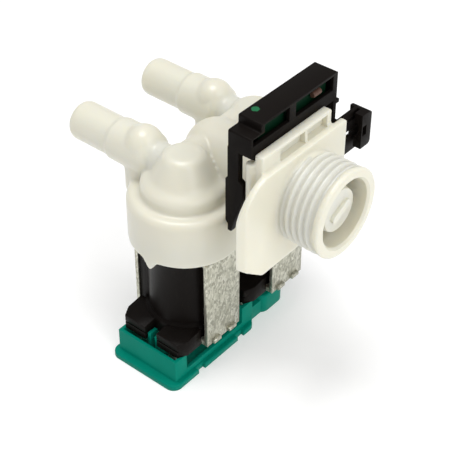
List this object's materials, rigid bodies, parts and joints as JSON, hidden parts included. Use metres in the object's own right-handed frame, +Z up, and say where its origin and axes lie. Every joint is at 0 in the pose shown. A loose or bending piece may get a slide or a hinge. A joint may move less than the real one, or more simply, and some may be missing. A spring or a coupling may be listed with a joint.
{
  "type": "washing machine inlet valve",
  "caption": "Double solenoid water inlet valve with a threaded inlet, a flow sensor, outlet spigots and a green terminal base.",
  "frame": {"origin": "on the surface that the base stands on, midway between the two valve axes", "axes": "+X along the threaded inlet, outwards; +Y from the front valve to the rear one; +Z up"},
  "size_m": [0.0831, 0.0669, 0.0878],
  "materials": {
    "white_polyamide": "semi-gloss",
    "polyamide_mesh": "woven mesh",
    "black_rubber": "matte",
    "ferrite_magnet": "matte",
    "stainless_steel": "ground",
    "black_plastic": "satin",
    "circuit_laminate": "satin",
    "component_body": "gloss",
    "clear_glass": "clear",
    "tinned_wire": "bright",
    "green_plastic": "semi-gloss",
    "black_coil_plastic": "satin",
    "bobbin_plastic": "satin",
    "copper_wire": "enamelled copper",
    "galvanised_steel": "zinc spangle",
    "iron_sleeve": "plain",
    "guide_plastic": "satin",
    "tinned_terminal": "tinned"
  },
  "bodies": {
    "valve": {"valve_body": "white_polyamide", "inlet_strainer": "white_polyamide", "strainer_mesh": "polyamide_mesh", "regulator_washer": "black_rubber", "turbine_cage": "white_polyamide", "turbine_shaft": "stainless_steel", "sensor_housing": "black_plastic", "circuit_board": "circuit_laminate", "series_resistor": "component_body", "reed_switch": "clear_glass", "reed_leads": "tinned_wire", "terminal_base": "green_plastic", "coil_casing_front": "black_coil_plastic", "bobbin_front": "bobbin_plastic", "winding_front": "copper_wire", "yoke_front": "galvanised_steel", "yoke_plate_front": "galvanised_steel", "lower_sleeve_front": "iron_sleeve", "upper_sleeve_front": "iron_sleeve", "guide_tube_front": "guide_plastic", "plunger_spring_front": "stainless_steel", "diaphragm_front": "black_rubber", "coil_terminals_front": "tinned_terminal", "coil_casing_rear": "black_coil_plastic", "bobbin_rear": "bobbin_plastic", "winding_rear": "copper_wire", "yoke_rear": "galvanised_steel", "yoke_plate_rear": "galvanised_steel", "lower_sleeve_rear": "iron_sleeve", "upper_sleeve_rear": "iron_sleeve", "guide_tube_rear": "guide_plastic", "plunger_spring_rear": "stainless_steel", "diaphragm_rear": "black_rubber", "coil_terminals_rear": "tinned_terminal"},
    "rotor": {"turbine_rotor": "white_polyamide", "rotor_magnets": "ferrite_magnet"},
    "plunger_front_body": {"plunger_front": "stainless_steel", "plunger_seal_front": "black_rubber"},
    "insert_front_body": {"diaphragm_insert_front": "bobbin_plastic"},
    "plunger_rear_body": {"plunger_rear": "stainless_steel", "plunger_seal_rear": "black_rubber"},
    "insert_rear_body": {"diaphragm_insert_rear": "bobbin_plastic"}
  },
  "joints": [
    {"name": "rotor_spin", "type": "hinge", "parent": "valve", "child": "rotor", "pos_m": [0.0185, 0, 0.0604], "axis": [1, 0, 0], "continuous": true},
    {"name": "plunger_front_slide", "type": "slide", "parent": "valve", "child": "plunger_front_body", "axis": [0, 0, -1], "range_m": [0, 0.0022], "stiffness_N_per_m": 200, "springref_m": -0.003, "deforming": ["plunger_spring_front"]},
    {"name": "diaphragm_front_lift", "type": "slide", "parent": "valve", "child": "insert_front_body", "axis": [0, 0, -1], "range_m": [0, 0.0016], "deforming": ["diaphragm_front"]},
    {"name": "plunger_rear_slide", "type": "slide", "parent": "valve", "child": "plunger_rear_body", "axis": [0, 0, -1], "range_m": [0, 0.0022], "stiffness_N_per_m": 200, "springref_m": -0.003, "deforming": ["plunger_spring_rear"]},
    {"name": "diaphragm_rear_lift", "type": "slide", "parent": "valve", "child": "insert_rear_body", "axis": [0, 0, -1], "range_m": [0, 0.0016], "deforming": ["diaphragm_rear"]}
  ],
  "couplings": [
    {"joint": "diaphragm_front_lift", "follows": "plunger_front_slide", "ratio": 0.7},
    {"joint": "diaphragm_rear_lift", "follows": "plunger_rear_slide", "ratio": 0.7}
  ]
}
